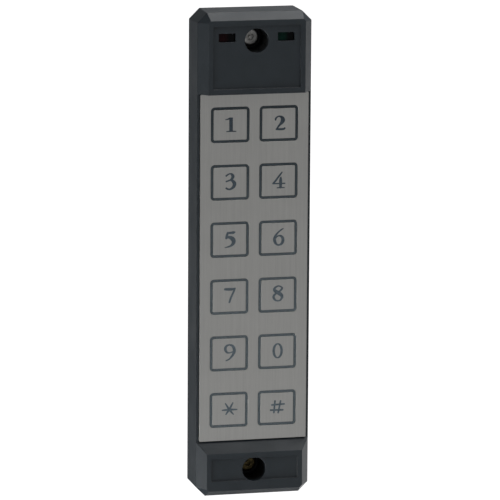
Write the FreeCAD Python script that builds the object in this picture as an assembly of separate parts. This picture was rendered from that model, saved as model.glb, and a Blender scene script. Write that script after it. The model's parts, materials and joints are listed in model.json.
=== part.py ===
"""Mullion-width keypad access reader, built as an assembly of separate pieces.

Frame: millimetres, +X to the right seen from the front, +Z up, the front looks along -Y.
The origin is the middle of the wall face: the wall is the plane Y = 0.
Depths are counted from the front plane of the end blocks, so depth 0 is Y = -DEPTH.
"""
import FreeCAD, Part
import math
import os

V = FreeCAD.Vector

OVERRUN = 1.0            # how far an open cut runs past the material

# ---- casing -------------------------------------------------------------------------------
WIDTH = 44.45            # 1.75 in, the width of a door-frame mullion
HEIGHT = 186.4
DEPTH = 18.0
DRAFT = 0.15             # moulding draft of the side walls, per side
CORNER_CUT = 4.0         # leg of the cut corners, at the wall
SHOULDER_CUT = 3.65      # the same where the front bevel starts
BEVEL_DEPTH = 4.5        # depth at which the front bevel meets the side wall
BEVEL_SIDE = 3.35        # bevel width along the long sides
BEVEL_END = 2.65         # bevel width along the two ends
FRONT_CORNER_CUT = 0.8   # what is left of the corner cut on the front plane
UPPER_BLOCK_Z = 62.4     # lower wall of the upper end block
RAMP_FOOT_Z = -71.7      # ramp of the lower block, at the ledge
RAMP_TOP_Z = -75.9       # ramp of the lower block, at the front plane
LEDGE_DEPTH = BEVEL_DEPTH
LEDGE_WALL = 2.0         # thickness of the wall behind the faceplate
BLOCK_WALL = 2.0         # thickness of the wall behind the recessed panels

RECESS_DEPTH = 0.8
UPPER_RECESS = (16.9, 64.5, 88.3)       # half width, lowest and highest z
LOWER_RECESS = (16.9, -86.6, -78.0)

# ---- inside of the casing -----------------------------------------------------------------
CAVITY_HALF_W = 19.7
CAVITY_HALF_H = 90.7
CAVITY_CORNER = 3.0
BLOCK_CAVITY_HALF_W = 18.2
PANEL_RIB = 2.0          # solid rib left between a block's cavity and the keypad trough
BLOCK_CAVITY_END_Z = 89.0
UPPER_CAVITY_Z = UPPER_BLOCK_Z + PANEL_RIB
LOWER_CAVITY_Z = -77.9
COVER_SEAT_DEPTH = 14.0
COVER_SEAT_STEP = 1.0
PLATE_SEAT_DEPTH = 16.4
PLATE_SEAT_STEP = 1.4
SEAT_GAP = 0.2           # gap around the inner cover and the mounting plate

# ---- screws that hold the reader on its mounting plate --------------------------------------
WELL_Z = 82.55           # 165.1 mm (6.5 in) between the two wells
WELL_R = 4.6
WELL_BOSS_R = 6.5
WELL_BOSS_END = 15.2
WELL_FLOOR_DEPTH = 13.6
WELL_HOLE_R = 2.2
SCREW_R = 2.0
SCREW_HEAD_R = 3.5
SCREW_HEAD_H = 2.2
SCREW_HEAD_EDGE_R = 0.9
SCREW_END_DEPTH = 17.6
SOCKET_FLATS = 2.5
SOCKET_DEPTH = 1.3
SOCKET_PIN_R = 0.45
SOCKET_PIN_SUNK = 0.2
NUT_FLANGE_R = 4.0
NUT_BARREL_R = 3.0
NUT_BORE_R = 2.05

# ---- keypad ---------------------------------------------------------------------------------
KEY_ROWS = (("1", "2"), ("3", "4"), ("5", "6"), ("7", "8"), ("9", "0"), ("star", "hash"))
KEY_PITCH_X = 18.86
KEY_PITCH_Z = 22.0
KEY_GRID_Z = -4.55       # height of the middle of the key grid
KEY_W = 12.8
KEY_H = 11.5
KEY_R = 0.4
KEY_TRAVEL = 0.6
OPENING_W = 15.0
OPENING_H = 13.7
OPENING_R = 1.5
FLANGE_W = 16.0
FLANGE_H = 14.7
FLANGE_R = 1.0
FLANGE_DEPTH = 7.4
FLANGE_T = 0.8
PLUNGER_R = 4.0
PLUNGER_END = 9.6
TIP_R = 2.5
TIP_END = 10.0
SEAL_FIT = 0.05          # sliding gap between a key and its seal lip, and lip to window
SEAL_LIP_DEPTH = 3.62    # the lip stands just below the key's face
MAT_T = 0.8
MAT_HALF_W = 18.7
MAT_Z = (-69.0, 58.2)
MAT_BOSS_GAP = 0.3

PLATE_DEPTH = 3.5
PLATE_T = 0.8
PLATE_W = 41.9
PLATE_Z = (-71.55, 62.2)
PLATE_R = 0.5
ADHESIVE_T = 0.2
ADHESIVE_MARGIN = 0.4

# ---- circuit board --------------------------------------------------------------------------
TIP_GAP = 0.05           # left between a pressed key's tip and the board
PCB_DEPTH = TIP_END + KEY_TRAVEL + TIP_GAP
PCB_T = 1.6
PCB_HALF_W = 19.3
PCB_Z = (-70.5, 88.3)
PCB_CORNER = 1.5
PCB_NOTCH_H = 6.0
PCB_BOSSES = ((0.0, 39.45), (0.0, KEY_GRID_Z), (0.0, -48.55), (-14.5, 76.5), (14.5, 76.5))
PCB_BOSS_R = 2.3
PCB_BOSS_HOLE = 4.4
PCB_BOSS_GAP = 0.4       # gap between the board and the bosses that it goes round
PCB_HOLE_GAP = 0.1
PCB_SCREW_R = 1.0
PCB_SCREW_LENGTH = 5.6
PCB_SCREW_HEAD_R = 1.9
PCB_SCREW_HEAD_H = 1.3
THREAD_GAP = 0.03
SLOT_WIDTH = 0.3         # of a pan head's cross slot, as a share of the head's radius
SLOT_LENGTH = 1.2

COVER_BOSSES = ((-15.8, 61.2), (15.8, 61.2), (-15.8, -77.5), (15.8, -77.5))
COVER_BOSS_R = 2.6
COVER_BOSS_HOLE = 7.0
COVER_HOLE_GAP = 0.15
COVER_WELL_GAP = 0.3
COVER_T = 1.2
COVER_SCREW_R = 1.25
COVER_SCREW_LENGTH = 7.5
COVER_SCREW_HEAD_R = 2.1
COVER_SCREW_HEAD_H = 0.7
GASKET_T = 0.4
GASKET_INSET = 0.1

# ---- components on the rear of the board: x, z, width, height, thickness -------------------
CONTROLLER = (0.0, 20.0, 10.0, 10.0, 1.4)
INTERFACE_CHIPS = ((-11.0, 4.0, 10.0, 4.0, 1.6), (11.0, 4.0, 10.0, 4.0, 1.6))
RADIO_CHIP = (0.0, 58.0, 7.0, 7.0, 1.0)
CRYSTAL = (11.0, 27.0, 3.2, 5.0, 1.0)
CABLE_HEADER = (0.0, -37.5, 12.0, 3.6, 2.0)
CAPACITOR_SITES = ((-12.0, 34.0), (-12.0, 40.0), (12.0, -14.0), (12.0, -20.0))
CAPACITOR_SIZE = (3.5, 2.8, 1.9)
BEEPER = (-11.0, -58.0, 9.0, 9.0, 1.9)
BEEPER_HOLE_R = 1.0
BEEPER_HOLE_DEPTH = 0.7

# ---- indicators -----------------------------------------------------------------------------
WINDOW_X = 11.4
WINDOW_Z = 83.85
WINDOW_W = 6.5
WINDOW_H = 3.3
LENS_GAP = 0.1
LENS_FACE_DEPTH = 2.0
LENS_END_DEPTH = 8.5
LENS_FLANGE_W = 8.6
LENS_FLANGE_H = 5.0
LENS_FLANGE_T = 0.8
LED_SIZE = (3.5, 1.9, 2.8)

# ---- antenna --------------------------------------------------------------------------------
ROD_Z = 68.8
ROD_R = 2.2
ROD_LENGTH = 32.0
COIL_R = 3.3
COIL_LENGTH = 20.0
CLIP_X = 14.2
CLIP_W = 3.0
CLIP_H = 6.4
ROD_ABOVE_BOARD = 3.5
ROD_DEPTH = PCB_DEPTH - ROD_ABOVE_BOARD

# ---- rear -----------------------------------------------------------------------------------
WALL_HOLE_Z = 83.3 / 2.0     # single-gang box spacing
WALL_HOLE_R = 2.2
WALL_SINK_R = 4.2
WALL_SINK_H = 0.9
CABLE_Z = -26.0
CABLE_OPENING_R = 8.0
GROMMET_BORE_R = 3.2
GROMMET_NECK_R = 4.5
GROMMET_FLANGE_R = 6.0
GROMMET_FRONT = 13.5
GROMMET_REAR = 17.0


# ---- helpers --------------------------------------------------------------------------------
def y_at(depth):
    """Y of a plane that lies depth below the front plane of the end blocks."""
    return depth - DEPTH


def block(x0, x1, depth0, depth1, z0, z1):
    """Box between two x values, two depths and two heights."""
    corner = V(x0, y_at(depth0), z0)
    return Part.makeBox(x1 - x0, depth1 - depth0, z1 - z0, corner)


def centred(x, z, w, h, depth0, depth1):
    """Box of width w and height h around (x, z)."""
    return block(x - w / 2, x + w / 2, depth0, depth1, z - h / 2, z + h / 2)


def rod(x, z, radius, depth0, depth1):
    """Cylinder along Y around (x, z)."""
    return Part.makeCylinder(radius, depth1 - depth0, V(x, y_at(depth0), z), V(0, 1, 0))


def rounded(x, z, w, h, radius, depth0, depth1):
    """Rectangular bar along Y with rounded corners."""
    body = centred(x, z, w, h, depth0, depth1)
    edges = [e for e in body.Edges if abs(e.tangentAt(e.FirstParameter).y) > 0.9]
    return body.makeFillet(radius, edges)


def outline(half_w, half_h, cut, depth):
    """Closed rectangle with cut corners in a plane of constant depth."""
    y = y_at(depth)
    quarter = [(half_w, half_h - cut), (half_w - cut, half_h)]
    ring = quarter + [(-x, z) for x, z in reversed(quarter)]
    ring += [(-x, -z) for x, z in quarter] + [(x, -z) for x, z in reversed(quarter)]
    points = [V(x, y, z) for x, z in ring]
    return Part.makePolygon(points + [points[0]])


def tray(half_w, half_h, cut, depth0, depth1):
    """Prism along Y with cut corners."""
    face = Part.Face(outline(half_w, half_h, cut, depth0))
    return face.extrude(V(0, depth1 - depth0, 0))


def joined(first, others):
    """One solid from several that touch or overlap."""
    return first.fuse(list(others)).removeSplitter()


def key_sites():
    """Name and centre of every key, row by row from the top."""
    top = KEY_GRID_Z + KEY_PITCH_Z * (len(KEY_ROWS) - 1) / 2
    for row, names in enumerate(KEY_ROWS):
        for side, name in zip((-1, 1), names):
            yield name, side * KEY_PITCH_X / 2, top - row * KEY_PITCH_Z


def save(shape, node):
    """Write one sub-part."""
    shape.exportStep("parts/" + node + ".step")


# ---- casing ---------------------------------------------------------------------------------
def casing_skin():
    """Outer form: drafted side walls, bevelled front, cut corners."""
    half_w = WIDTH / 2
    half_h = HEIGHT / 2
    rear = outline(half_w, half_h, CORNER_CUT, DEPTH)
    shoulder = outline(half_w - DRAFT, half_h - DRAFT, SHOULDER_CUT, BEVEL_DEPTH)
    front_w = half_w - DRAFT - BEVEL_SIDE
    front_h = half_h - DRAFT - BEVEL_END
    front = outline(front_w, front_h, FRONT_CORNER_CUT, 0)
    walls = Part.makeLoft([shoulder, rear], True, True)
    nose = Part.makeLoft([front, shoulder], True, True)
    return joined(walls, [nose])


def keypad_trough():
    """Space between the end blocks, with the lower block's ramp."""
    slope = (RAMP_FOOT_Z - RAMP_TOP_Z) / LEDGE_DEPTH
    corners = [(-OVERRUN, UPPER_BLOCK_Z), (LEDGE_DEPTH, UPPER_BLOCK_Z),
               (LEDGE_DEPTH, RAMP_FOOT_Z), (-OVERRUN, RAMP_TOP_Z - slope * OVERRUN)]
    points = [V(-WIDTH, y_at(depth), z) for depth, z in corners]
    face = Part.Face(Part.makePolygon(points + [points[0]]))
    return face.extrude(V(2 * WIDTH, 0, 0))


def recess(half_w, z0, z1):
    """Shallow panel in the front of an end block."""
    return block(-half_w, half_w, -OVERRUN, RECESS_DEPTH, z0, z1)


def housing_cavity():
    """Everything that is hollow behind the front walls."""
    half_w = CAVITY_HALF_W
    half_h = CAVITY_HALF_H
    block_front = RECESS_DEPTH + BLOCK_WALL
    main_front = LEDGE_DEPTH + LEDGE_WALL
    main = tray(half_w, half_h, CAVITY_CORNER, main_front, COVER_SEAT_DEPTH)
    upper = block(-BLOCK_CAVITY_HALF_W, BLOCK_CAVITY_HALF_W, block_front, main_front,
                  UPPER_CAVITY_Z, BLOCK_CAVITY_END_Z)
    lower = block(-BLOCK_CAVITY_HALF_W, BLOCK_CAVITY_HALF_W, block_front, main_front,
                  -BLOCK_CAVITY_END_Z, LOWER_CAVITY_Z)
    cover_seat = tray(half_w + COVER_SEAT_STEP, half_h + COVER_SEAT_STEP, CAVITY_CORNER,
                      COVER_SEAT_DEPTH, PLATE_SEAT_DEPTH)
    plate_seat = tray(half_w + PLATE_SEAT_STEP, half_h + PLATE_SEAT_STEP, CAVITY_CORNER,
                      PLATE_SEAT_DEPTH, DEPTH)
    return [main, upper, lower, cover_seat, plate_seat]


def housing_bosses():
    """Bosses for the two mounting screws, the board and the inner cover."""
    block_front = RECESS_DEPTH + BLOCK_WALL
    bosses = [rod(0, z, WELL_BOSS_R, block_front, WELL_BOSS_END) for z in (WELL_Z, -WELL_Z)]
    for x, z in PCB_BOSSES:
        start = block_front if z > UPPER_BLOCK_Z else LEDGE_DEPTH + LEDGE_WALL
        bosses.append(rod(x, z, PCB_BOSS_R, start, PCB_DEPTH))
    for x, z in COVER_BOSSES:
        bosses.append(rod(x, z, COVER_BOSS_R, LEDGE_DEPTH, COVER_SEAT_DEPTH + GASKET_T))
    return bosses


def housing_holes():
    """Screw wells, boss holes, key windows and indicator windows."""
    cuts = []
    for z in (WELL_Z, -WELL_Z):
        cuts.append(rod(0, z, WELL_R, 0, WELL_FLOOR_DEPTH))
        cuts.append(rod(0, z, WELL_HOLE_R, WELL_FLOOR_DEPTH, WELL_BOSS_END))
    for x, z in PCB_BOSSES:
        cuts.append(rod(x, z, PCB_SCREW_R + THREAD_GAP, PCB_DEPTH - PCB_BOSS_HOLE,
                        PCB_DEPTH))
    for x, z in COVER_BOSSES:
        end = COVER_SEAT_DEPTH + GASKET_T
        cuts.append(rod(x, z, COVER_SCREW_R + THREAD_GAP, end - COVER_BOSS_HOLE, end))
    for _, x, z in key_sites():
        cuts.append(rounded(x, z, OPENING_W, OPENING_H, OPENING_R, LEDGE_DEPTH - OVERRUN,
                            LEDGE_DEPTH + LEDGE_WALL))
    for side in (-1, 1):
        cuts.append(centred(side * WINDOW_X, WINDOW_Z, WINDOW_W, WINDOW_H, 0,
                            RECESS_DEPTH + BLOCK_WALL))
    return cuts


def front_housing():
    """The moulded casing."""
    shell = casing_skin().cut([keypad_trough(), recess(*UPPER_RECESS), recess(*LOWER_RECESS)])
    shell = shell.cut(housing_cavity())
    shell = joined(shell, housing_bosses())
    return shell.cut(housing_holes()).removeSplitter()


# ---- faceplate, seals and keys --------------------------------------------------------------
def keypad_faceplate():
    """Steel plate with twelve rounded openings."""
    z0, z1 = PLATE_Z
    sheet = rounded(0, (z0 + z1) / 2, PLATE_W, z1 - z0, PLATE_R, PLATE_DEPTH,
                    PLATE_DEPTH + PLATE_T)
    holes = [rounded(x, z, OPENING_W, OPENING_H, OPENING_R, PLATE_DEPTH, PLATE_DEPTH + PLATE_T)
             for _, x, z in key_sites()]
    return sheet.cut(holes)


def faceplate_adhesive():
    """Die-cut film between the plate and the housing's ledge."""
    z0, z1 = PLATE_Z
    front = PLATE_DEPTH + PLATE_T
    grow = 2 * ADHESIVE_MARGIN
    sheet = rounded(0, (z0 + z1) / 2, PLATE_W - grow, z1 - z0 - grow, PLATE_R, front,
                    front + ADHESIVE_T)
    holes = [rounded(x, z, OPENING_W + grow, OPENING_H + grow, OPENING_R + ADHESIVE_MARGIN,
                     front, front + ADHESIVE_T) for _, x, z in key_sites()]
    return sheet.cut(holes)


def key_seal_mat():
    """Silicone sheet behind the front wall, with a lip around every key."""
    front = LEDGE_DEPTH + LEDGE_WALL
    mat = block(-MAT_HALF_W, MAT_HALF_W, front, front + MAT_T, *MAT_Z)
    lips = [rounded(x, z, OPENING_W - 2 * SEAL_FIT, OPENING_H - 2 * SEAL_FIT,
                    OPENING_R - SEAL_FIT, SEAL_LIP_DEPTH, front) for _, x, z in key_sites()]
    holes = [rounded(x, z, KEY_W + 2 * SEAL_FIT, KEY_H + 2 * SEAL_FIT, KEY_R + SEAL_FIT,
                     SEAL_LIP_DEPTH, front + MAT_T) for _, x, z in key_sites()]
    holes += [rod(x, z, PCB_BOSS_R + MAT_BOSS_GAP, front, front + MAT_T)
              for x, z in PCB_BOSSES if z < UPPER_BLOCK_Z]
    return joined(mat, lips).cut(holes)


def key_cap(x, z):
    """Steel key: a square stem, flush with the plate, and a retaining flange."""
    stem = rounded(x, z, KEY_W, KEY_H, KEY_R, PLATE_DEPTH, FLANGE_DEPTH)
    flange = rounded(x, z, FLANGE_W, FLANGE_H, FLANGE_R, FLANGE_DEPTH, FLANGE_DEPTH + FLANGE_T)
    return joined(stem, [flange])


def key_plunger(x, z):
    """Silicone plunger with its conductive tip."""
    start = FLANGE_DEPTH + FLANGE_T
    return joined(rod(x, z, PLUNGER_R, start, PLUNGER_END), [rod(x, z, TIP_R, PLUNGER_END, TIP_END)])


# ---- circuit board and what stands on it -----------------------------------------------------
def main_pcb():
    """Board with clearance for the upper screw boss and the two upper cover bosses."""
    z0, z1 = PCB_Z
    rear = PCB_DEPTH + PCB_T
    board = rounded(0, (z0 + z1) / 2, 2 * PCB_HALF_W, z1 - z0, PCB_CORNER, PCB_DEPTH, rear)
    cuts = [rod(0, WELL_Z, WELL_BOSS_R + PCB_BOSS_GAP, PCB_DEPTH, rear)]
    cuts += [rod(x, z, PCB_SCREW_R + PCB_HOLE_GAP, PCB_DEPTH, rear) for x, z in PCB_BOSSES]
    for x, z in COVER_BOSSES[:2]:
        side = math.copysign(1, x)
        inner = side * (abs(x) - COVER_BOSS_R - PCB_BOSS_GAP)
        outer = side * (PCB_HALF_W + OVERRUN)
        cuts.append(block(min(inner, outer), max(inner, outer), PCB_DEPTH, rear,
                          z - PCB_NOTCH_H / 2, z + PCB_NOTCH_H / 2))
    return board.cut(cuts)


def on_rear(x, z, w, h, t):
    """Component on the rear of the board."""
    rear = PCB_DEPTH + PCB_T
    return centred(x, z, w, h, rear, rear + t)


def beeper():
    """Flat piezo beeper with its sound hole."""
    x, z, _, _, height = BEEPER
    top = PCB_DEPTH + PCB_T + height
    return on_rear(*BEEPER).cut(rod(x, z, BEEPER_HOLE_R, top - BEEPER_HOLE_DEPTH, top))


def led(side):
    """Surface-mounted LED on the front of the board."""
    w, t, h = LED_SIZE
    return centred(side * WINDOW_X, WINDOW_Z, w, h, PCB_DEPTH - t, PCB_DEPTH)


def lens(side):
    """Light pipe that fills a window, with a retaining flange."""
    x = side * WINDOW_X
    wall_rear = RECESS_DEPTH + BLOCK_WALL
    pipe = centred(x, WINDOW_Z, WINDOW_W - 2 * LENS_GAP, WINDOW_H - 2 * LENS_GAP,
                   LENS_FACE_DEPTH, LENS_END_DEPTH)
    flange = centred(x, WINDOW_Z, LENS_FLANGE_W, LENS_FLANGE_H, wall_rear,
                     wall_rear + LENS_FLANGE_T)
    return joined(pipe, [flange])


def along_x(radius, length, hole=0.0):
    """Cylinder along X on the antenna's axis, with an optional bore."""
    start = V(-length / 2, y_at(ROD_DEPTH), ROD_Z)
    body = Part.makeCylinder(radius, length, start, V(1, 0, 0))
    if hole:
        body = body.cut(Part.makeCylinder(hole, length, start, V(1, 0, 0)))
    return body


def antenna_clips():
    """Two clips that hold the ferrite rod above the board."""
    rod_body = along_x(ROD_R, ROD_LENGTH)
    clips = [centred(side * CLIP_X, ROD_Z, CLIP_W, CLIP_H, ROD_DEPTH - CLIP_H / 2, PCB_DEPTH)
             .cut(rod_body) for side in (-1, 1)]
    return Part.makeCompound(clips)


def pan_screw(x, z, radius, length, head_r, head_h, seat):
    """Small screw driven in from behind: the head's underside is at depth seat."""
    slot_w = head_r * SLOT_WIDTH
    slot_l = head_r * SLOT_LENGTH
    shank = rod(x, z, radius, seat - length, seat)
    head = rod(x, z, head_r, seat, seat + head_h)
    slot = [centred(x, z, slot_l, slot_w, seat + head_h / 2, seat + head_h),
            centred(x, z, slot_w, slot_l, seat + head_h / 2, seat + head_h)]
    return joined(shank, [head]).cut(slot)


# ---- rear of the reader ----------------------------------------------------------------------
def inner_cover():
    """Cover that closes the electronics, behind the board."""
    front = COVER_SEAT_DEPTH + GASKET_T
    rear = front + COVER_T
    half_w = CAVITY_HALF_W + COVER_SEAT_STEP - SEAT_GAP
    half_h = CAVITY_HALF_H + COVER_SEAT_STEP - SEAT_GAP
    sheet = tray(half_w, half_h, CAVITY_CORNER, front, rear)
    cuts = [rod(0, z, WELL_BOSS_R + COVER_WELL_GAP, front, rear) for z in (WELL_Z, -WELL_Z)]
    cuts += [rod(x, z, COVER_SCREW_R + COVER_HOLE_GAP, front, rear) for x, z in COVER_BOSSES]
    cuts.append(rod(0, CABLE_Z, GROMMET_NECK_R, front, rear))
    return sheet.cut(cuts)


def cover_gasket():
    """Flat ring under the inner cover's rim."""
    outer = tray(CAVITY_HALF_W + COVER_SEAT_STEP - GASKET_INSET,
                 CAVITY_HALF_H + COVER_SEAT_STEP - GASKET_INSET, CAVITY_CORNER,
                 COVER_SEAT_DEPTH, COVER_SEAT_DEPTH + GASKET_T)
    inner = tray(CAVITY_HALF_W, CAVITY_HALF_H, CAVITY_CORNER, COVER_SEAT_DEPTH,
                 COVER_SEAT_DEPTH + GASKET_T)
    return outer.cut(inner)


def cable_grommet():
    """Rubber inlet for the cable, clipped into the inner cover."""
    front = COVER_SEAT_DEPTH + GASKET_T
    rear = front + COVER_T
    flanges = [rod(0, CABLE_Z, GROMMET_FLANGE_R, GROMMET_FRONT, front),
               rod(0, CABLE_Z, GROMMET_FLANGE_R, rear, GROMMET_REAR)]
    body = joined(rod(0, CABLE_Z, GROMMET_NECK_R, front, rear), flanges)
    return body.cut(rod(0, CABLE_Z, GROMMET_BORE_R, GROMMET_FRONT, GROMMET_REAR))


def mounting_plate():
    """Steel plate that is screwed to the wall first."""
    half_w = CAVITY_HALF_W + PLATE_SEAT_STEP - SEAT_GAP
    half_h = CAVITY_HALF_H + PLATE_SEAT_STEP - SEAT_GAP
    sheet = tray(half_w, half_h, CAVITY_CORNER, PLATE_SEAT_DEPTH, DEPTH)
    cuts = [rod(0, z, NUT_BARREL_R, PLATE_SEAT_DEPTH, DEPTH) for z in (WELL_Z, -WELL_Z)]
    cuts.append(rod(0, CABLE_Z, CABLE_OPENING_R, PLATE_SEAT_DEPTH, DEPTH))
    for z in (WALL_HOLE_Z, -WALL_HOLE_Z):
        cuts.append(rod(0, z, WALL_HOLE_R, PLATE_SEAT_DEPTH, DEPTH))
        cuts.append(Part.makeCone(WALL_SINK_R, WALL_HOLE_R, WALL_SINK_H,
                                  V(0, y_at(PLATE_SEAT_DEPTH), z), V(0, 1, 0)))
    return sheet.cut(cuts)


def clinch_nut(z):
    """Brass nut pressed into the mounting plate."""
    flange = rod(0, z, NUT_FLANGE_R, WELL_BOSS_END, PLATE_SEAT_DEPTH)
    barrel = rod(0, z, NUT_BARREL_R, PLATE_SEAT_DEPTH, DEPTH)
    return joined(flange, [barrel]).cut(rod(0, z, NUT_BORE_R, WELL_BOSS_END, DEPTH))


def socket(front):
    """Hexagon socket with its centre pin, cut into a head whose face is at depth front."""
    reach = SOCKET_FLATS / math.sqrt(3)
    hexagon = [V(reach * math.cos(math.radians(a)), y_at(front), reach * math.sin(math.radians(a)))
               for a in range(0, 420, 60)]
    hollow = Part.Face(Part.makePolygon(hexagon)).extrude(V(0, SOCKET_DEPTH, 0))
    return hollow.cut(rod(0, 0, SOCKET_PIN_R, front + SOCKET_PIN_SUNK, front + SOCKET_DEPTH))


def security_screw(z):
    """Button-head screw with a pinned hexagon socket, seated on the well's floor."""
    front = WELL_FLOOR_DEPTH - SCREW_HEAD_H
    head = rod(0, 0, SCREW_HEAD_R, front, WELL_FLOOR_DEPTH)
    rim = min(head.Edges, key=lambda e: e.BoundBox.YMax)
    head = head.makeFillet(SCREW_HEAD_EDGE_R, [rim])
    screw = joined(rod(0, 0, SCREW_R, WELL_FLOOR_DEPTH, SCREW_END_DEPTH), [head])
    screw = screw.cut(socket(front))
    screw.translate(V(0, 0, z))
    return screw


# ---- output ---------------------------------------------------------------------------------
def build():
    """Write every sub-part."""
    os.makedirs("parts", exist_ok=True)
    save(front_housing(), "front_housing")
    save(keypad_faceplate(), "keypad_faceplate")
    save(faceplate_adhesive(), "faceplate_adhesive")
    save(key_seal_mat(), "key_seal_mat")
    for name, x, z in key_sites():
        save(key_cap(x, z), "key_" + name + "_cap")
        save(key_plunger(x, z), "key_" + name + "_plunger")

    save(main_pcb(), "main_pcb")
    save(on_rear(*CONTROLLER), "controller_chip")
    save(Part.makeCompound([on_rear(*chip) for chip in INTERFACE_CHIPS]), "interface_chips")
    save(on_rear(*RADIO_CHIP), "radio_chip")
    save(on_rear(*CRYSTAL), "crystal")
    capacitors = [on_rear(x, z, *CAPACITOR_SIZE) for x, z in CAPACITOR_SITES]
    save(Part.makeCompound(capacitors), "capacitors")
    save(beeper(), "beeper")
    save(on_rear(*CABLE_HEADER), "cable_header")
    save(led(-1), "red_led")
    save(led(1), "green_led")
    save(lens(-1), "red_lens")
    save(lens(1), "green_lens")
    save(along_x(ROD_R, ROD_LENGTH), "ferrite_rod")
    save(along_x(COIL_R, COIL_LENGTH, ROD_R), "antenna_coil")
    save(antenna_clips(), "antenna_clips")

    pcb_rear = PCB_DEPTH + PCB_T
    board_screws = [pan_screw(x, z, PCB_SCREW_R, PCB_SCREW_LENGTH, PCB_SCREW_HEAD_R,
                              PCB_SCREW_HEAD_H, pcb_rear) for x, z in PCB_BOSSES]
    save(Part.makeCompound(board_screws), "board_screws")
    cover_rear = COVER_SEAT_DEPTH + GASKET_T + COVER_T
    cover_screws = [pan_screw(x, z, COVER_SCREW_R, COVER_SCREW_LENGTH, COVER_SCREW_HEAD_R,
                              COVER_SCREW_HEAD_H, cover_rear) for x, z in COVER_BOSSES]
    save(Part.makeCompound(cover_screws), "cover_screws")

    save(inner_cover(), "inner_cover")
    save(cover_gasket(), "cover_gasket")
    save(cable_grommet(), "cable_grommet")
    save(mounting_plate(), "mounting_plate")
    save(Part.makeCompound([clinch_nut(z) for z in (WELL_Z, -WELL_Z)]), "clinch_nuts")
    save(Part.makeCompound([security_screw(z) for z in (WELL_Z, -WELL_Z)]), "security_screws")


build()
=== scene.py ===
import json
import math

import bmesh
import bpy
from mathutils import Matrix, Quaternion, Vector


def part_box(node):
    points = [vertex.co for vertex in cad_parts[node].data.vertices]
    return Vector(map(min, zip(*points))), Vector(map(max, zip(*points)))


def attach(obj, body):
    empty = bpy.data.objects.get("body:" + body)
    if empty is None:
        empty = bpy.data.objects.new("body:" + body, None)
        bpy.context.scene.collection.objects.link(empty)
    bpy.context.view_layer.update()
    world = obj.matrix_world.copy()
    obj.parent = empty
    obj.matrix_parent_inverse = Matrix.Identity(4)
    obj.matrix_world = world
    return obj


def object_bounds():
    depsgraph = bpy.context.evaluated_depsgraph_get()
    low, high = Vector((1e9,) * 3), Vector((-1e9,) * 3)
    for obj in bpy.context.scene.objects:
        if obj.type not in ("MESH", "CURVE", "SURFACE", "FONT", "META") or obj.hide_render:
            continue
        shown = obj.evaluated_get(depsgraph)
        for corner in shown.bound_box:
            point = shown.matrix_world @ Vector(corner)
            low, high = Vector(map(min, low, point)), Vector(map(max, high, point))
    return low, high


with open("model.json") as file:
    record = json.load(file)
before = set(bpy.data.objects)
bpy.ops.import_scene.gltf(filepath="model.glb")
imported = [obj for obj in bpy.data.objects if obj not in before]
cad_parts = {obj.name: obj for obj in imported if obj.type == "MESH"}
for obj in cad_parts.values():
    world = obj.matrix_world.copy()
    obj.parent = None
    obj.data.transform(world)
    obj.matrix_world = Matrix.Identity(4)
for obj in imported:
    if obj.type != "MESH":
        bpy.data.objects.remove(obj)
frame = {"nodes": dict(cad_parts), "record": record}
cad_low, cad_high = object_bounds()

MM = 0.001

# ---------------------------------------------------------------- camera

EYE = Vector((-0.38009, -1.55475, 0.30768))
AIM = Vector((-0.002336, -0.018, 0.002886))
ROLL = math.radians(0.367)
LENS_MM = 306.9
SENSOR_MM = 36.0
NEAREST_M, FARTHEST_M = 0.05, 100.0


def make_camera():
    """A long lens, a little to the reader's left and above it."""
    data = bpy.data.cameras.new("camera")
    data.lens = LENS_MM
    data.sensor_width = SENSOR_MM
    data.clip_start = NEAREST_M
    data.clip_end = FARTHEST_M
    camera = bpy.data.objects.new("camera", data)
    bpy.context.scene.collection.objects.link(camera)
    camera.location = EYE
    camera.rotation_mode = "QUATERNION"
    turn = Quaternion((0.0, 0.0, 1.0), ROLL)
    camera.rotation_quaternion = (AIM - EYE).to_track_quat("-Z", "Y") @ turn
    bpy.context.scene.camera = camera


# ---------------------------------------------------------------- node graphs

# Places of the colour sockets among all the sockets of a Mix node.
MIX_FACTOR, MIX_A, MIX_B = 0, 6, 7
MIX_RESULT = 2
BEVEL_SAMPLES = 6
EDGE_STARTS = 0.982      # cosine between rounded and flat normal where an edge begins to show
EDGE_FULL = 0.88         # and where it shows fully


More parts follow.
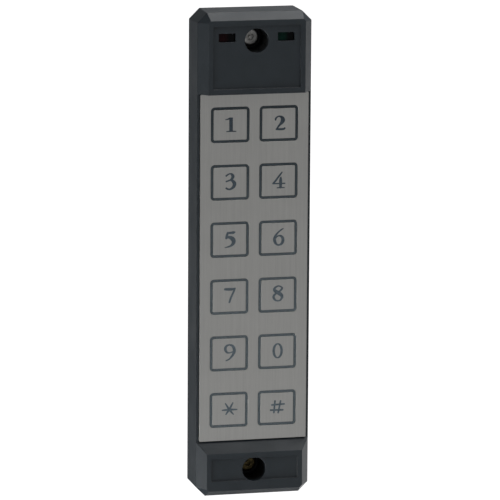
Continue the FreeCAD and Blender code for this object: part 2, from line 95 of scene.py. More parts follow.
class Graph:
    """One material's node graph, with the few steps that the finishes are made of."""

    def __init__(self, name):
        self.material = bpy.data.materials.new(f"{name}_finish")
        self.material.use_nodes = True
        self.tree = self.material.node_tree
        self.shader = self.tree.nodes["Principled BSDF"]
        self.place = self.add("ShaderNodeTexCoord").outputs["Object"]

    def add(self, kind, **settings):
        made = self.tree.nodes.new(kind)
        for key, value in settings.items():
            setattr(made, key, value)
        return made

    def feed(self, socket, value):
        if isinstance(value, bpy.types.NodeSocket):
            self.tree.links.new(value, socket)
        else:
            socket.default_value = value

    def stretched(self, x, y, z):
        """Object coordinates scaled along each axis, for grain that runs one way."""
        made = self.add("ShaderNodeMapping")
        self.feed(made.inputs["Vector"], self.place)
        made.inputs["Scale"].default_value = (x, y, z)
        return made.outputs["Vector"]

    def turned(self):
        """Coordinates turned so that a pattern made for X and Y lies in the X and Z of a board."""
        made = self.add("ShaderNodeMapping")
        self.feed(made.inputs["Vector"], self.place)
        made.inputs["Rotation"].default_value = (math.pi / 2.0, 0.0, 0.0)
        return made.outputs["Vector"]

    def noise(self, size_mm, detail=3.0, vector=None):
        """Cloudy noise from 0 to 1, with lumps of about the given size."""
        made = self.add("ShaderNodeTexNoise")
        self.feed(made.inputs["Vector"], vector or self.place)
        made.inputs["Scale"].default_value = 1.0 / (size_mm * MM)
        made.inputs["Detail"].default_value = detail
        return made.outputs["Fac"]

    def cells(self, size_mm, feature="F1"):
        """Distance to the nearest of many scattered points."""
        made = self.add("ShaderNodeTexVoronoi", feature=feature)
        self.feed(made.inputs["Vector"], self.place)
        made.inputs["Scale"].default_value = 1.0 / (size_mm * MM)
        return made.outputs["Distance"]

    def remap(self, value, low, high, to_low=0.0, to_high=1.0):
        made = self.add("ShaderNodeMapRange")
        self.feed(made.inputs["Value"], value)
        made.inputs["From Min"].default_value = low
        made.inputs["From Max"].default_value = high
        made.inputs["To Min"].default_value = to_low
        made.inputs["To Max"].default_value = to_high
        return made.outputs["Result"]

    def calc(self, operation, *values):
        made = self.add("ShaderNodeMath", operation=operation)
        for socket, value in zip(made.inputs, values):
            self.feed(socket, value)
        return made.outputs[0]

    def mix(self, amount, a, b):
        made = self.add("ShaderNodeMix", data_type="RGBA")
        self.feed(made.inputs[MIX_FACTOR], amount)
        self.feed(made.inputs[MIX_A], (*a, 1.0) if isinstance(a, tuple) else a)
        self.feed(made.inputs[MIX_B], (*b, 1.0) if isinstance(b, tuple) else b)
        return made.outputs[MIX_RESULT]

    def square(self, letter):
        along = self.axis(letter)
        return self.calc("MULTIPLY", along, along)

    def axis(self, letter):
        made = self.add("ShaderNodeSeparateXYZ")
        self.feed(made.inputs[0], self.place)
        return made.outputs[letter]

    def rounded(self, radius_mm):
        """The surface's normal with its edges rounded off."""
        made = self.add("ShaderNodeBevel", samples=BEVEL_SAMPLES)
        made.inputs["Radius"].default_value = radius_mm * MM
        return made.outputs["Normal"]

    def edges(self, radius_mm):
        """1 along sharp edges, 0 on flat faces."""
        flat = self.add("ShaderNodeNewGeometry").outputs["Normal"]
        dot = self.add("ShaderNodeVectorMath", operation="DOT_PRODUCT")
        self.feed(dot.inputs[0], self.rounded(radius_mm))
        self.feed(dot.inputs[1], flat)
        return self.remap(dot.outputs["Value"], EDGE_STARTS, EDGE_FULL)

    def bump(self, height, depth_mm, normal=None):
        made = self.add("ShaderNodeBump")
        made.inputs["Strength"].default_value = 1.0
        made.inputs["Distance"].default_value = depth_mm * MM
        self.feed(made.inputs["Height"], height)
        if normal is not None:
            self.feed(made.inputs["Normal"], normal)
        return made.outputs["Normal"]

    def finish(self, colour=None, rough=None, normal=None, metal=0.0, **fixed):
        if colour is not None:
            self.feed(self.shader.inputs["Base Color"], colour)
        if rough is not None:
            self.feed(self.shader.inputs["Roughness"], rough)
        if normal is not None:
            self.feed(self.shader.inputs["Normal"], normal)
        self.shader.inputs["Metallic"].default_value = metal
        for key, value in fixed.items():
            self.shader.inputs[key.replace("_", " ")].default_value = value
        return self.material


# ---------------------------------------------------------------- finishes
# Sizes that end in _mm are in millimetres, and colours are linear red, green and blue.
# A noise keeps to the middle of its range, so remap() spreads that middle, such as 0.3 to 0.7.

WELL_INSIDE, WELL_OUTSIDE = 1.34, 1.36       # radii just within and past a well's wall, in screw radii
WELL_MOUTH_MM, WELL_DARK_MM = 1.2, 3.5       # depths between which the painted shade in a well deepens
# How strongly, and towards which near-black, the casing is darkened deep in its screw wells: painted
# shade.
WELL_PAINTED_SHADE_AMOUNT = 0.85
WELL_PAINTED_SHADE_COLOUR = (0.002, 0.0025, 0.003)
BRUSH_STRETCH = 0.012                        # scale of the noise along a streak, where across it is 1
MACHINED_STRETCH = 0.15                      # the same for the grain of turned metal
BRIGHTER_EDGE = 1.25                         # an edge polished by handling
BRIGHTER_RIM = 1.3                           # the rim of a small turned part
LENS_DEEP = 0.7                              # the deeper streaks of a window's tint
PALER_STARTS_MM = 10.0                        # print starts to pale this far below the plate's top
PALEST_FROM_MM = 48.0                          # and is palest from this far above its foot


def well_painted_shade_mask(g):
    """Where the casing gets painted shade: 1 deep within the two screw wells, 0 elsewhere."""
    low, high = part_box("security_screws")
    screw_r = (high.x - low.x) / 2.0
    height = g.calc("ABSOLUTE", g.axis("Z"))
    rise = g.calc("SUBTRACT", height, high.z - screw_r)
    reach = g.calc("SQRT", g.calc("ADD", g.calc("MULTIPLY", rise, rise), g.square("X")))
    radial = g.remap(reach, screw_r * WELL_OUTSIDE, screw_r * WELL_INSIDE)
    depth = g.remap(g.axis("Y"), cad_low.y + WELL_MOUTH_MM * MM, cad_low.y + WELL_DARK_MM * MM)
    return g.calc("MULTIPLY", radial, depth)


def scaled(colour, times):
    return tuple(min(1.0, c * times) for c in colour)


def moulded(
        name, dark, light, worn, rough, grain_mm, depth_mm,
        soft_mm=0.3, wear=0.6, inside=None, **fixed):
    """Moulded plastic or rubber: spark-eroded texture, faint mottling, edges rubbed smooth."""
    g = Graph(name)
    mottle = g.remap(g.noise(9.0, 4.0), 0.35, 0.65)
    speck = g.remap(g.noise(grain_mm * 2.2, 2.0), 0.35, 0.65)
    body = g.mix(g.calc("MULTIPLY_ADD", mottle, 0.6, 0.5), dark, light)
    body = g.mix(g.calc("MULTIPLY", speck, 0.22), body, light)
    patches = g.remap(g.noise(2.2, 3.0), 0.38, 0.6, 0.25, 1.0)
    rubbed = g.calc("MULTIPLY", g.edges(soft_mm), patches)
    rubbed = g.calc("MULTIPLY", rubbed, wear)
    colour = g.mix(rubbed, body, worn)
    # Painted shade: deep in the screw wells the colour is pulled towards a near-black.
    if inside is not None:
        colour = g.mix(g.calc("MULTIPLY", inside(g), WELL_PAINTED_SHADE_AMOUNT), colour, WELL_PAINTED_SHADE_COLOUR)
    grain = g.noise(grain_mm, 3.0)
    pits = g.cells(grain_mm * 1.4, "SMOOTH_F1")
    height = g.calc("ADD", grain, g.calc("MULTIPLY", pits, 0.5))
    gloss = g.remap(g.noise(14.0, 3.0), 0.3, 0.7, rough - 0.06, rough + 0.06)
    gloss = g.calc("SUBTRACT", gloss, g.calc("MULTIPLY", rubbed, 0.12))
    normal = g.bump(height, depth_mm, g.rounded(soft_mm))
    return g.finish(colour, gloss, normal, **fixed)


def brushed(name, dark, light, rough, streak_mm=0.12, depth_mm=0.0025, soft_mm=0.15):
    """Brushed or rolled sheet: fine streaks along its length, soft stains, polished edges."""
    g = Graph(name)
    run = g.stretched(1.0, 1.0, BRUSH_STRETCH)
    fine = g.noise(streak_mm, 3.0, run)
    broad = g.noise(streak_mm * 7.0, 4.0, run)
    stain = g.remap(g.noise(16.0, 5.0), 0.3, 0.7)
    streaks = g.calc("ADD", g.calc("MULTIPLY", fine, 0.55), g.calc("MULTIPLY", broad, 0.45))
    grain_tone = g.calc("MULTIPLY", g.remap(streaks, 0.35, 0.65), 0.6)
    tone = g.calc("ADD", grain_tone, g.calc("MULTIPLY", stain, 0.4))
    body = g.mix(tone, dark, light)
    rim = g.calc("MULTIPLY", g.edges(soft_mm), g.remap(g.noise(1.5, 2.0), 0.35, 0.6, 0.4, 0.9))
    colour = g.mix(rim, body, scaled(light, BRIGHTER_EDGE))
    gloss = g.remap(streaks, 0.3, 0.7, rough - 0.07, rough + 0.07)
    gloss = g.calc("ADD", gloss, g.calc("MULTIPLY", stain, 0.05))
    normal = g.bump(streaks, depth_mm, g.rounded(soft_mm))
    return g.finish(colour, gloss, normal, metal=1.0)


def turned(name, dark, light, rough, depth_mm=0.006, soft_mm=0.1, stain=None):
    """Plated or turned metal on small hardware: cloudy plating, fine machining grain."""
    g = Graph(name)
    cloud = g.remap(g.noise(1.1, 4.0), 0.32, 0.68)
    body = g.mix(cloud, dark, light)
    if stain is not None:
        body = g.mix(g.remap(g.noise(2.6, 5.0), 0.52, 0.7, 0.0, 0.7), body, stain)
    rim = g.calc("MULTIPLY", g.edges(soft_mm), 0.7)
    colour = g.mix(rim, body, scaled(light, BRIGHTER_RIM))
    grain = g.noise(0.16, 4.0, g.stretched(1.0, MACHINED_STRETCH, 1.0))
    gloss = g.remap(cloud, 0.0, 1.0, rough + 0.08, rough - 0.05)
    normal = g.bump(grain, depth_mm, g.rounded(soft_mm))
    return g.finish(colour, gloss, normal, metal=1.0)


def paler_downward(g, top_tone, pale):
    """The keypad's dark print and seals, paler towards the lower rows."""
    low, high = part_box("keypad_faceplate")
    down = g.remap(g.axis("Z"), high.z - PALER_STARTS_MM * MM, low.z + PALEST_FROM_MM * MM)
    patchy = g.calc("ADD", down, g.remap(g.noise(12.0, 3.0), 0.3, 0.7, -0.08, 0.08))
    return g.mix(patchy, top_tone, pale)


def printed_ink(name):
    """Screen-printed ink: a little uneven, a faint orange peel."""
    g = Graph(name)
    colour = paler_downward(g, (0.043, 0.066, 0.088), (0.150, 0.195, 0.230))
    colour = g.mix(g.remap(g.noise(0.9, 3.0), 0.35, 0.7, 0.0, 0.35), colour, (0.012, 0.016, 0.020))
    gloss = g.remap(g.noise(0.6, 3.0), 0.3, 0.7, 0.42, 0.58)
    return g.finish(colour, gloss, g.bump(g.noise(0.12, 3.0), 0.003))


def security_screws(name):
    """Plated screws: the upper one bright zinc, the lower one a brass tone darkened with painted shade.
    """
    g = Graph(name)
    upper = g.remap(g.axis("Z"), -0.01, 0.01)
    cloud = g.remap(g.noise(0.9, 4.0), 0.32, 0.68)
    bright = g.mix(cloud, (0.40, 0.40, 0.39), (0.62, 0.62, 0.60))
    # The lower screw's brass tone is kept dark: painted shade deep in its well.
    brass_in_painted_shade = g.mix(cloud, (0.05, 0.04, 0.02), (0.20, 0.155, 0.07))
    colour = g.mix(upper, brass_in_painted_shade, bright)
    colour = g.mix(g.calc("MULTIPLY", g.edges(0.12), 0.4), colour, (0.6, 0.57, 0.5))
    grain = g.noise(0.16, 4.0, g.stretched(1.0, MACHINED_STRETCH, 1.0))
    gloss = g.remap(cloud, 0.0, 1.0, 0.42, 0.3)
    return g.finish(colour, gloss, g.bump(grain, 0.008, g.rounded(0.1)), metal=1.0)


def seal_silicone(name):
    """Matte silicone lips round the keys, with a fine dusty bloom."""
    g = Graph(name)
    colour = paler_downward(g, (0.034, 0.048, 0.058), (0.150, 0.185, 0.205))
    colour = g.mix(g.remap(g.noise(0.5, 4.0), 0.4, 0.7, 0.0, 0.3), colour, (0.02, 0.026, 0.03))
    gloss = g.remap(g.noise(1.5, 3.0), 0.3, 0.7, 0.55, 0.68)
    normal = g.bump(g.noise(0.2, 3.0), 0.006, g.rounded(0.12))
    return g.finish(colour, gloss, normal)


def window_lens(name, tinted, centre_x, half_width):
    """A deeply tinted window: its left half shows the lamp's tint, its right half is painted near-black
    as the shade of the chamber behind.
    """
    g = Graph(name)
    across = g.remap(g.axis("X"), centre_x - half_width * 0.15, centre_x + half_width * 0.25)
    swirl = g.noise(1.3, 3.0)
    tint = g.mix(g.remap(swirl, 0.3, 0.7), scaled(tinted, LENS_DEEP), tinted)
    # Painted shade: the right half goes near-black, standing in for the unlit chamber behind the window.
    colour = g.mix(across, tint, (0.0015, 0.002, 0.0025))
    gloss = g.remap(g.noise(0.8, 4.0), 0.3, 0.7, 0.2, 0.32)
    normal = g.bump(g.noise(0.7, 2.0), 0.004, g.rounded(0.2))
    return g.finish(colour, gloss, normal, Specular_IOR_Level=0.08)


def circuit_board(name):
    """Solder mask over glass weave, with plated tracks and vias showing through."""
    g = Graph(name)
    weave = g.add("ShaderNodeTexWave", wave_type="BANDS", bands_direction="X")
    g.feed(weave.inputs["Vector"], g.place)
    weave.inputs["Scale"].default_value = 900.0
    weave.inputs["Distortion"].default_value = 1.5
    tracks = g.add("ShaderNodeTexBrick", offset=0.37, squash=1.6)
    g.feed(tracks.inputs["Vector"], g.turned())
    tracks.inputs["Scale"].default_value = 260.0
    tracks.inputs["Mortar Size"].default_value = 0.03
    lines = g.remap(tracks.outputs["Fac"], 0.2, 0.8)
    vias = g.remap(g.cells(4.2), 0.09, 0.07)
    mask = g.mix(g.remap(g.noise(7.0, 3.0), 0.3, 0.7), (0.006, 0.07, 0.028), (0.012, 0.11, 0.045))
    mask = g.mix(g.calc("MULTIPLY", weave.outputs["Fac"], 0.12), mask, (0.03, 0.16, 0.07))
    mask = g.mix(g.calc("MULTIPLY", lines, 0.75), mask, (0.04, 0.2, 0.08))
    colour = g.mix(vias, mask, (0.55, 0.5, 0.38))
    gloss = g.remap(g.noise(3.0, 3.0), 0.3, 0.7, 0.28, 0.4)
    height = g.calc("ADD", lines, g.calc("MULTIPLY", weave.outputs["Fac"], 0.2))
    return g.finish(colour, gloss, g.bump(height, 0.02, g.rounded(0.1)))


def wound_wire(name):
    """Enamelled wire laid in close turns along the rod."""
    g = Graph(name)
    turns = g.add("ShaderNodeTexWave", wave_type="BANDS", bands_direction="X", wave_profile="SIN")
    g.feed(turns.inputs["Vector"], g.place)
    turns.inputs["Scale"].default_value = 1000.0
    turns.inputs["Distortion"].default_value = 0.4
    enamel = g.remap(g.noise(1.6, 3.0), 0.3, 0.7)
    colour = g.mix(enamel, (0.42, 0.12, 0.035), (0.62, 0.24, 0.08))
    # Painted shade: the copper darkens in the grooves between turns.
    colour = g.mix(g.remap(turns.outputs["Fac"], 0.0, 0.35, 0.6, 0.0), colour, (0.08, 0.025, 0.01))
    gloss = g.remap(turns.outputs["Fac"], 0.0, 1.0, 0.5, 0.3)
    return g.finish(colour, gloss, g.bump(turns.outputs["Fac"], 0.08), metal=1.0)


# ---------------------------------------------------------------- dressing the CAD nodes


def lens_at(node, name, tinted):
    """The finish of one indicator window, placed from its own box."""
    low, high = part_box(node)
    return window_lens(name, tinted, (low.x + high.x) / 2.0, (high.x - low.x) / 2.0)


STEEL = dict(dark=(0.475, 0.475, 0.462), light=(0.600, 0.598, 0.580), rough=0.36)

# Looks of the moulded plastics and rubbers, by material slot.
MOULDED = {
    # The casing's finish carries painted shade deep in its screw wells.
    "casing": dict(
        dark=(0.0165, 0.0245, 0.0305), light=(0.026, 0.0355, 0.044), worn=(0.07, 0.08, 0.09),
        rough=0.46, grain_mm=0.32, depth_mm=0.012, soft_mm=0.35, wear=0.5, inside=well_painted_shade_mask),
    "adhesive": dict(
        dark=(0.06, 0.06, 0.058), light=(0.1, 0.1, 0.097), worn=(0.13, 0.13, 0.12),
        rough=0.7, grain_mm=0.4, depth_mm=0.01, soft_mm=0.08),
    "plunger_silicone": dict(
        dark=(0.13, 0.13, 0.125), light=(0.2, 0.2, 0.19), worn=(0.26, 0.26, 0.25),
        rough=0.62, grain_mm=0.3, depth_mm=0.008, soft_mm=0.2),
    "chip_plastic": dict(
        dark=(0.012, 0.012, 0.013), light=(0.022, 0.022, 0.023), worn=(0.06, 0.06, 0.06),
        rough=0.5, grain_mm=0.18, depth_mm=0.008, soft_mm=0.12),
    "tantalum": dict(
        dark=(0.46, 0.24, 0.03), light=(0.6, 0.34, 0.05), worn=(0.66, 0.45, 0.15),
        rough=0.45, grain_mm=0.2, depth_mm=0.006, soft_mm=0.1),
    "beeper_case": dict(
        dark=(0.014, 0.014, 0.015), light=(0.024, 0.024, 0.025), worn=(0.06, 0.06, 0.06),
        rough=0.4, grain_mm=0.3, depth_mm=0.008, soft_mm=0.2),
    "header_plastic": dict(
        dark=(0.52, 0.5, 0.42), light=(0.64, 0.62, 0.54), worn=(0.72, 0.7, 0.63),
        rough=0.5, grain_mm=0.3, depth_mm=0.006, soft_mm=0.15),
    "led_red": dict(
        dark=(0.4, 0.02, 0.015), light=(0.55, 0.04, 0.025), worn=(0.6, 0.1, 0.08),
        rough=0.15, grain_mm=0.9, depth_mm=0.003, soft_mm=0.15, Coat_Weight=0.5),
    "led_green": dict(
        dark=(0.015, 0.28, 0.08), light=(0.025, 0.4, 0.12), worn=(0.1, 0.45, 0.2),
        rough=0.15, grain_mm=0.9, depth_mm=0.003, soft_mm=0.15, Coat_Weight=0.5),
    "ferrite": dict(
        dark=(0.028, 0.028, 0.03), light=(0.045, 0.045, 0.047), worn=(0.1, 0.1, 0.1),
        rough=0.38, grain_mm=0.22, depth_mm=0.01, soft_mm=0.15),
    "clip_plastic": dict(
        dark=(0.48, 0.48, 0.45), light=(0.58, 0.58, 0.55), worn=(0.66, 0.66, 0.63),
        rough=0.5, grain_mm=0.3, depth_mm=0.006, soft_mm=0.15),
    "cover_plastic": dict(
        dark=(0.02, 0.022, 0.024), light=(0.03, 0.033, 0.036), worn=(0.075, 0.078, 0.08),
        rough=0.5, grain_mm=0.32, depth_mm=0.012, soft_mm=0.3),
    "gasket_rubber": dict(
        dark=(0.012, 0.012, 0.013), light=(0.022, 0.022, 0.023), worn=(0.04, 0.04, 0.04),
        rough=0.85, grain_mm=0.5, depth_mm=0.05, soft_mm=0.15),
    "grommet_rubber": dict(
        dark=(0.013, 0.013, 0.014), light=(0.022, 0.022, 0.024), worn=(0.045, 0.045, 0.047),
        rough=0.62, grain_mm=0.3, depth_mm=0.01, soft_mm=0.3),
}

# Looks of the sheet metal.
BRUSHED = {
    "faceplate_steel": STEEL,
    "key_steel": STEEL,
    "zinc_plate": dict(
        dark=(0.38, 0.385, 0.39), light=(0.52, 0.525, 0.52),
        rough=0.38, streak_mm=0.3, depth_mm=0.006, soft_mm=0.2),
}

# Looks of the small plated and turned metal pieces.
TURNED = {
    "crystal_can": dict(
        dark=(0.52, 0.52, 0.5), light=(0.66, 0.66, 0.63),
        rough=0.22),
    "small_screws": dict(
        dark=(0.4, 0.4, 0.41), light=(0.54, 0.54, 0.55),
        rough=0.3),
    "nut_brass": dict(
        dark=(0.46, 0.3, 0.1), light=(0.6, 0.43, 0.17), stain=(0.3, 0.17, 0.07),
        rough=0.3),
}


def make_finishes():
    """The finish of each material slot."""
    made = {slot: moulded(slot, **look) for slot, look in MOULDED.items()}
    made.update({slot: brushed(slot, **look) for slot, look in BRUSHED.items()})
    made.update({slot: turned(slot, **look) for slot, look in TURNED.items()})
    made.update({
        "seal_silicone": seal_silicone("seal_silicone"),
        "board": circuit_board("board"),
        "lens_red": lens_at("red_lens", "lens_red", (0.020, 0.003, 0.0045)),
        "lens_green": lens_at("green_lens", "lens_green", (0.0015, 0.030, 0.020)),
        "copper_winding": wound_wire("copper_winding"),
        "security_screw_steel": security_screws("security_screw_steel"),
    })
    return made


def node_slots():
    """Each CAD node's material slot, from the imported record."""
    return {part["node"]: part["material_slot"] for part in frame["record"]["subparts"]}


def dress(finishes):
    """Gives every CAD node the finish of its slot."""
    slots = node_slots()
    for name, piece in frame["nodes"].items():
        piece.data.materials.clear()
        piece.data.materials.append(finishes[slots[name]])
        piece.material_slots[0].material = finishes[slots[name]]


# ---------------------------------------------------------------- key numerals

RING_POINTS = 20
# Strokes in mm from the key's centre: (across, up, half the stroke's width).
STROKES = {
    "1": [
        [(0.1, 3.05, 0.70), (0.1, 0.0, 0.70), (0.1, -2.2, 0.70)],
        [(-2.0, 2.25, 0.16), (-1.2, 2.4, 0.26), (-0.3, 2.75, 0.31)],
        [(-1.6, -2.3, 0.19), (0.1, -2.2, 0.26), (2.0, -2.3, 0.19)],
    ],
    "2": [
        [(-1.5, 1.6, 0.33), (-1.35, 2.2, 0.37), (-0.7, 2.75, 0.26), (0.1, 2.9, 0.31), (1.0, 2.4, 0.62),
         (1.35, 1.5, 0.84), (1.0, 0.6, 0.70), (0.3, -0.2, 0.44), (-0.4, -1.0, 0.37), (-1.0, -1.9, 0.31)],
        [(-1.1, -2.0, 0.37), (0.3, -2.05, 0.42), (1.6, -2.0, 0.40), (2.1, -1.7, 0.35)],
    ],
    "3": [
        [(-1.65, 2.8, 0.34), (-1.2, 3.15, 0.32), (-0.3, 3.55, 0.25), (0.5, 3.3, 0.46), (0.95, 2.5, 0.63),
         (0.6, 1.7, 0.52), (0.0, 1.2, 0.34), (-0.9, 0.85, 0.29), (-1.6, 0.65, 0.32)],
        [(0.1, 1.15, 0.34), (0.9, 0.7, 0.57), (1.5, -0.1, 0.71), (1.45, -1.0, 0.67), (0.9, -1.8, 0.52),
         (0.0, -2.35, 0.37), (-0.9, -2.35, 0.34), (-1.6, -1.95, 0.37)],
    ],
    "4": [
        [(1.2, 3.5, 0.22), (0.6, 2.7, 0.35), (-0.3, 1.6, 0.35), (-1.2, 0.4, 0.38), (-2.2, -0.75, 0.35)],
        [(-2.3, -0.8, 0.3), (-1.0, -0.85, 0.26), (0.8, -0.85, 0.24), (2.3, -0.85, 0.26)],
        [(0.85, 1.7, 0.15), (0.7, 1.2, 0.45), (0.65, 0.0, 0.6), (0.65, -1.2, 0.58), (0.65, -2.3, 0.5)],
        [(-0.7, -2.5, 0.2), (0.65, -2.4, 0.25), (2.1, -2.5, 0.2)],
    ],
    "5": [
        [(-1.0, 2.85, 0.38), (0.2, 2.85, 0.47), (1.2, 2.95, 0.53), (1.75, 3.1, 0.31)],
        [(-0.9, 2.95, 0.38), (-1.25, 1.9, 0.50), (-1.5, 0.85, 0.44)],
        [(-1.5, 0.9, 0.31), (-0.6, 1.2, 0.50), (0.4, 0.9, 0.75), (1.15, 0.2, 0.85), (1.35, -0.7, 0.78),
         (0.9, -1.6, 0.56), (0.1, -2.2, 0.38), (-0.9, -2.5, 0.28), (-2.0, -2.75, 0.15)],
    ],
    "6": [
        [(1.8, 3.75, 0.2), (0.9, 3.2, 0.3), (-0.2, 2.3, 0.32), (-1.1, 1.2, 0.42), (-1.55, 0.0, 0.58),
         (-1.4, -1.2, 0.58), (-0.8, -2.2, 0.42), (0.1, -2.6, 0.3)],
        [(0.1, -2.6, 0.3), (1.1, -2.15, 0.48), (1.7, -1.1, 0.58), (1.65, 0.0, 0.55), (1.1, 0.8, 0.45),
         (0.3, 1.05, 0.32), (-0.6, 0.75, 0.28), (-1.2, 0.1, 0.3)],
    ],
    "7": [
        [(-1.9, 3.15, 0.45), (-0.5, 3.1, 0.55), (1.0, 3.1, 0.5), (1.9, 3.35, 0.3)],
        [(2.0, 3.4, 0.3), (1.6, 2.4, 0.38), (0.9, 0.9, 0.38), (0.3, -0.5, 0.4), (-0.15, -1.9, 0.38)],
    ],
    "8": [
        [(1.35, 3.1, 0.3), (0.2, 3.6, 0.28), (-1.0, 3.1, 0.4), (-1.5, 2.3, 0.55), (-0.9, 1.5, 0.7),
         (0.3, 0.8, 0.75), (1.3, 0.0, 0.68), (1.6, -0.8, 0.5)],
        [(1.6, -0.8, 0.5), (1.0, -1.8, 0.35), (0.0, -2.15, 0.28), (-1.1, -1.8, 0.4), (-1.75, -0.8, 0.48),
         (-1.5, 0.1, 0.45), (-0.7, 0.8, 0.35), (0.5, 1.5, 0.35), (1.3, 2.2, 0.4), (1.6, 2.8, 0.35),
         (1.35, 3.1, 0.3)],
    ],
    "9": [
        [(-0.1, 3.6, 0.28), (1.0, 3.2, 0.45), (1.7, 2.2, 0.58), (1.85, 1.0, 0.6), (1.4, -0.2, 0.5),
         (0.6, -1.3, 0.38), (-0.3, -2.1, 0.3), (-1.3, -2.55, 0.25)],
        [(-0.1, 3.6, 0.28), (-1.1, 3.2, 0.42), (-1.65, 2.3, 0.52), (-1.5, 1.3, 0.5), (-0.9, 0.6, 0.38),
         (0.1, 0.45, 0.25), (1.2, 0.8, 0.22)],
    ],
    "0": [
        [(1.55 * math.cos(a), 0.4 + 2.7 * math.sin(a), 0.25 + 0.25 * abs(math.cos(a)))
         for a in [i * 2.0 * math.pi / RING_POINTS for i in range(RING_POINTS + 1)]],
    ],
    "star": [
        [(0.0, 0.3, 0.42), (0.5 * x, 0.15 + 0.5 * z, 0.38), (x, z, 0.24)]
        for x, z in ((-2.7, 0.15), (3.0, 0.2), (-1.5, 2.7), (1.4, 2.9), (-1.3, -1.5), (1.6, -1.6))
    ],
    "hash": [
        [(-0.9, 2.8, 0.35), (-1.1, 0.55, 0.35), (-1.3, -1.7, 0.35)],
        [(1.3, 2.7, 0.35), (0.85, 0.45, 0.35), (0.4, -1.8, 0.35)],
        [(-2.1, 1.3, 0.35), (0.3, 1.4, 0.35), (2.7, 1.5, 0.35)],
        [(-2.6, -0.7, 0.35), (-0.2, -0.75, 0.35), (2.2, -0.8, 0.35)],
    ],
}
PRINT_SHIFT = (0.2, -0.22)       # mm, across and up, of the print from the key's centre
INK_MM = 0.03
INK_STEP_MM = 0.002              # each stroke stands this much prouder than the one before
INK_SUNK_MM = 0.004              # the ink's back, within the steel
SQUARE_ENDED = {("1", 0)}        # strokes without round ends, as (key, number)
STATIONS = 8                     # on a curve between two points of a stroke
CLOSED_WITHIN_MM = 0.01
END_STEPS = 5                    # a round end turns a right angle in this many steps
MEETS_MM = 1e-6
MERGE_M = 1e-8


def smooth_line(points):
    """A curve through the stroke's points, with its width, as closely spaced stations."""
    line = [Vector(p) for p in points]
    closed = (line[0] - line[-1]).length < CLOSED_WITHIN_MM
    made = []
    last = len(line) - 1
    for i in range(last):
        b, c = line[i], line[i + 1]
        a = line[i - 1] if i > 0 else (line[last - 1] if closed else b * 2.0 - c)
        d = line[i + 2] if i + 2 <= last else (line[1] if closed else c * 2.0 - b)
        for step in range(STATIONS):
            t = step / STATIONS
            made.append(
                0.5 * ((2.0 * b) + (c - a) * t + (2.0 * a - 5.0 * b + 4.0 * c - d) * t ** 2
                       + (3.0 * b - a - 3.0 * c + d) * t ** 3))
    if not closed:
        made.append(line[last])
    return made, closed


def stroke_outline(points, square):
    """The stroke's two sides as lists of (across, up), with its round ends."""
    line, closed = smooth_line(points)
    count = len(line)
    left, right = [], []
    for i, station in enumerate(line):
        before = line[i - 1] if (i > 0 or closed) else station
        after = line[(i + 1) % count] if (i + 1 < count or closed) else station
        run = Vector((after.x - before.x, after.y - before.y)).normalized()
        side = Vector((-run.y, run.x)) * station.z
        left.append(Vector((station.x, station.y)) + side)
        right.append(Vector((station.x, station.y)) - side)
    if closed:
        return left + left[:1], right + right[:1]
    if not square:
        for end, into in ((0, line[0]), (-1, line[-1])):
            run = (left[end] - right[end]) / 2.0
            ahead = Vector((run.y, -run.x)) * (-1.0 if end == 0 else 1.0)
            middle = Vector((into.x, into.y))
            for step in range(1, END_STEPS):
                turn = step * math.pi / (2.0 * END_STEPS)
                lift = ahead * math.sin(turn)
                half = run * math.cos(turn)
                at = 0 if end == 0 else len(left)
                left.insert(at, middle + half + lift)
                right.insert(at, middle - half + lift)
    return left, right


def numeral_mesh(key):
    """A thin film of ink on the face of one key cap, one closed ribbon for each stroke."""
    low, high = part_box(f"key_{key}_cap")
    centre = (low + high) / 2.0
    bm = bmesh.new()
    for number, points in enumerate(STROKES[key]):
        left, right = stroke_outline(points, (key, number) in SQUARE_ENDED)
        front = low.y - (INK_MM + INK_STEP_MM * number) * MM
        back = low.y + INK_SUNK_MM * MM
        rings = []
        for one, other in zip(left, right):
            corners = ((one, front), (other, front), (other, back), (one, back))
            rings.append([
                bm.verts.new((
                    centre.x + (p.x + PRINT_SHIFT[0]) * MM, y,
                    centre.z + (p.y + PRINT_SHIFT[1]) * MM))
                for p, y in corners])
        for a, b in zip(rings, rings[1:]):
            for i in range(4):
                bm.faces.new((a[i], b[i], b[(i + 1) % 4], a[(i + 1) % 4]))
        if (left[0] - left[-1]).length > MEETS_MM:
            bm.faces.new(list(reversed(rings[0])))
            bm.faces.new(rings[-1])
    bmesh.ops.remove_doubles(bm, verts=bm.verts, dist=MERGE_M)
    bmesh.ops.recalc_face_normals(bm, faces=bm.faces)
    mesh = bpy.data.meshes.new(f"numeral_{key}")
    bm.to_mesh(mesh)
    bm.free()
    return mesh


def numeral(key, ink):
    """The numeral printed on one key cap. It travels with the key."""
    mesh = numeral_mesh(key)
    mesh.materials.append(ink)
    piece = bpy.data.objects.new(f"numeral_{key}", mesh)
    bpy.context.scene.collection.objects.link(piece)
    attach(piece, f"key_{key}")


# ---------------------------------------------------------------- stage and light

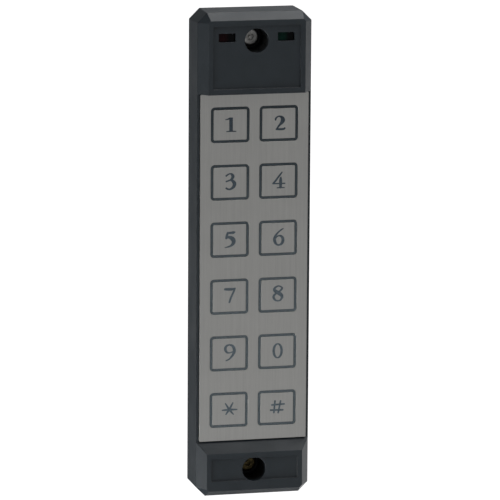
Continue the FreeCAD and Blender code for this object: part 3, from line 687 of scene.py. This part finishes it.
FLOOR_DROP = 2.2      # below the reader, which hangs free on no wall
FLOOR_HALF = 7.0
BACKDROP_R = 7.5
BACKDROP_DETAIL = 3
LIGHTS = (
    # name, place, aim, diameter, watts
    ("rear_high", (0.8, 1.3, 1.0), (0.0, 0.0, 0.0), 0.9, 2.2),
    ("top_back", (0.45, 0.45, 1.05), (0.0, 0.0, 0.0), 0.9, 5.2),
    ("top_front", (0.35, -0.5, 1.05), (0.0, 0.0, 0.0), 0.9, 3.9),
    ("front_right", (0.40, -1.45, -0.30), (0.0, 0.0, 0.0), 1.2, 0.80),
    ("front_low", (0.25, -1.15, -0.70), (0.0, 0.0, 0.0), 0.8, 0.62),
    ("front_left", (-0.9, -1.2, 0.4), (0.0, 0.0, 0.0), 1.1, 0.7),
    ("low_left", (-1.05, -0.85, -0.75), (0.0, 0.0, -0.05), 1.1, 2.2),
    ("left_near", (-0.42, -0.13, -0.32), (0.0, 0.0, -0.09), 0.3, 1.3),
    ("left", (-1.3, -0.1, 0.0), (0.0, 0.0, 0.0), 0.9, 0.35),
    ("rear_left", (-0.6, 1.3, -0.35), (0.0, 0.0, 0.0), 0.7, 0.20),
    ("rear_fill", (0.6, 1.5, -0.55), (0.0, 0.0, 0.0), 1.4, 8.5),
    ("right_fill", (1.5, 0.4, -0.5), (0.0, 0.0, 0.0), 1.2, 4.5),
)
WORLD = 0.135         # strength of the even light from all round
PAPER = (0.9, 0.9, 0.9, 1.0)
WHITE = (1.0, 1.0, 1.0, 1.0)


def paper(name):
    """Pale paper, evenly lit."""
    g = Graph(name)
    return g.finish(
        Base_Color=PAPER, Roughness=0.9, Emission_Color=WHITE, Emission_Strength=1.0)


def staged(name, mesh):
    """Stage pieces show to the camera and leave the lamps' light on the reader alone."""
    mesh.materials.append(paper(name))
    piece = bpy.data.objects.new(name, mesh)
    bpy.context.scene.collection.objects.link(piece)
    piece.visible_diffuse = False
    piece.visible_glossy = False
    piece.visible_transmission = False
    piece.visible_shadow = False


def make_stage():
    """A plain pale floor well below the reader, which hangs free, and a plain backdrop all round."""
    z = cad_low.z - FLOOR_DROP
    h = FLOOR_HALF
    floor = bpy.data.meshes.new("floor")
    floor.from_pydata([(-h, -h, z), (h, -h, z), (h, h, z), (-h, h, z)], [], [(0, 1, 2, 3)])
    staged("floor", floor)
    bm = bmesh.new()
    bmesh.ops.create_icosphere(bm, subdivisions=BACKDROP_DETAIL, radius=BACKDROP_R)
    bmesh.ops.reverse_faces(bm, faces=bm.faces)
    backdrop = bpy.data.meshes.new("backdrop")
    bm.to_mesh(backdrop)
    bm.free()
    staged("backdrop", backdrop)


def make_lights():
    """Soft round lamps and an even sky."""
    for name, place, aim, size, power in LIGHTS:
        data = bpy.data.lights.new(name, "AREA")
        data.shape = "DISK"
        data.size = size
        data.energy = power
        lamp = bpy.data.objects.new(name, data)
        bpy.context.scene.collection.objects.link(lamp)
        lamp.visible_camera = False
        lamp.location = place
        lamp.rotation_mode = "QUATERNION"
        lamp.rotation_quaternion = (Vector(aim) - Vector(place)).to_track_quat("-Z", "Y")
    world = bpy.data.worlds.new("studio")
    world.use_nodes = True
    sky = world.node_tree.nodes["Background"]
    sky.inputs["Color"].default_value = WHITE
    sky.inputs["Strength"].default_value = WORLD
    bpy.context.scene.world = world


make_camera()
dress(make_finishes())
key_ink = printed_ink("key_ink")
for key in STROKES:
    numeral(key, key_ink)
make_stage()
make_lights()
bpy.context.scene.view_settings.view_transform = "Standard"
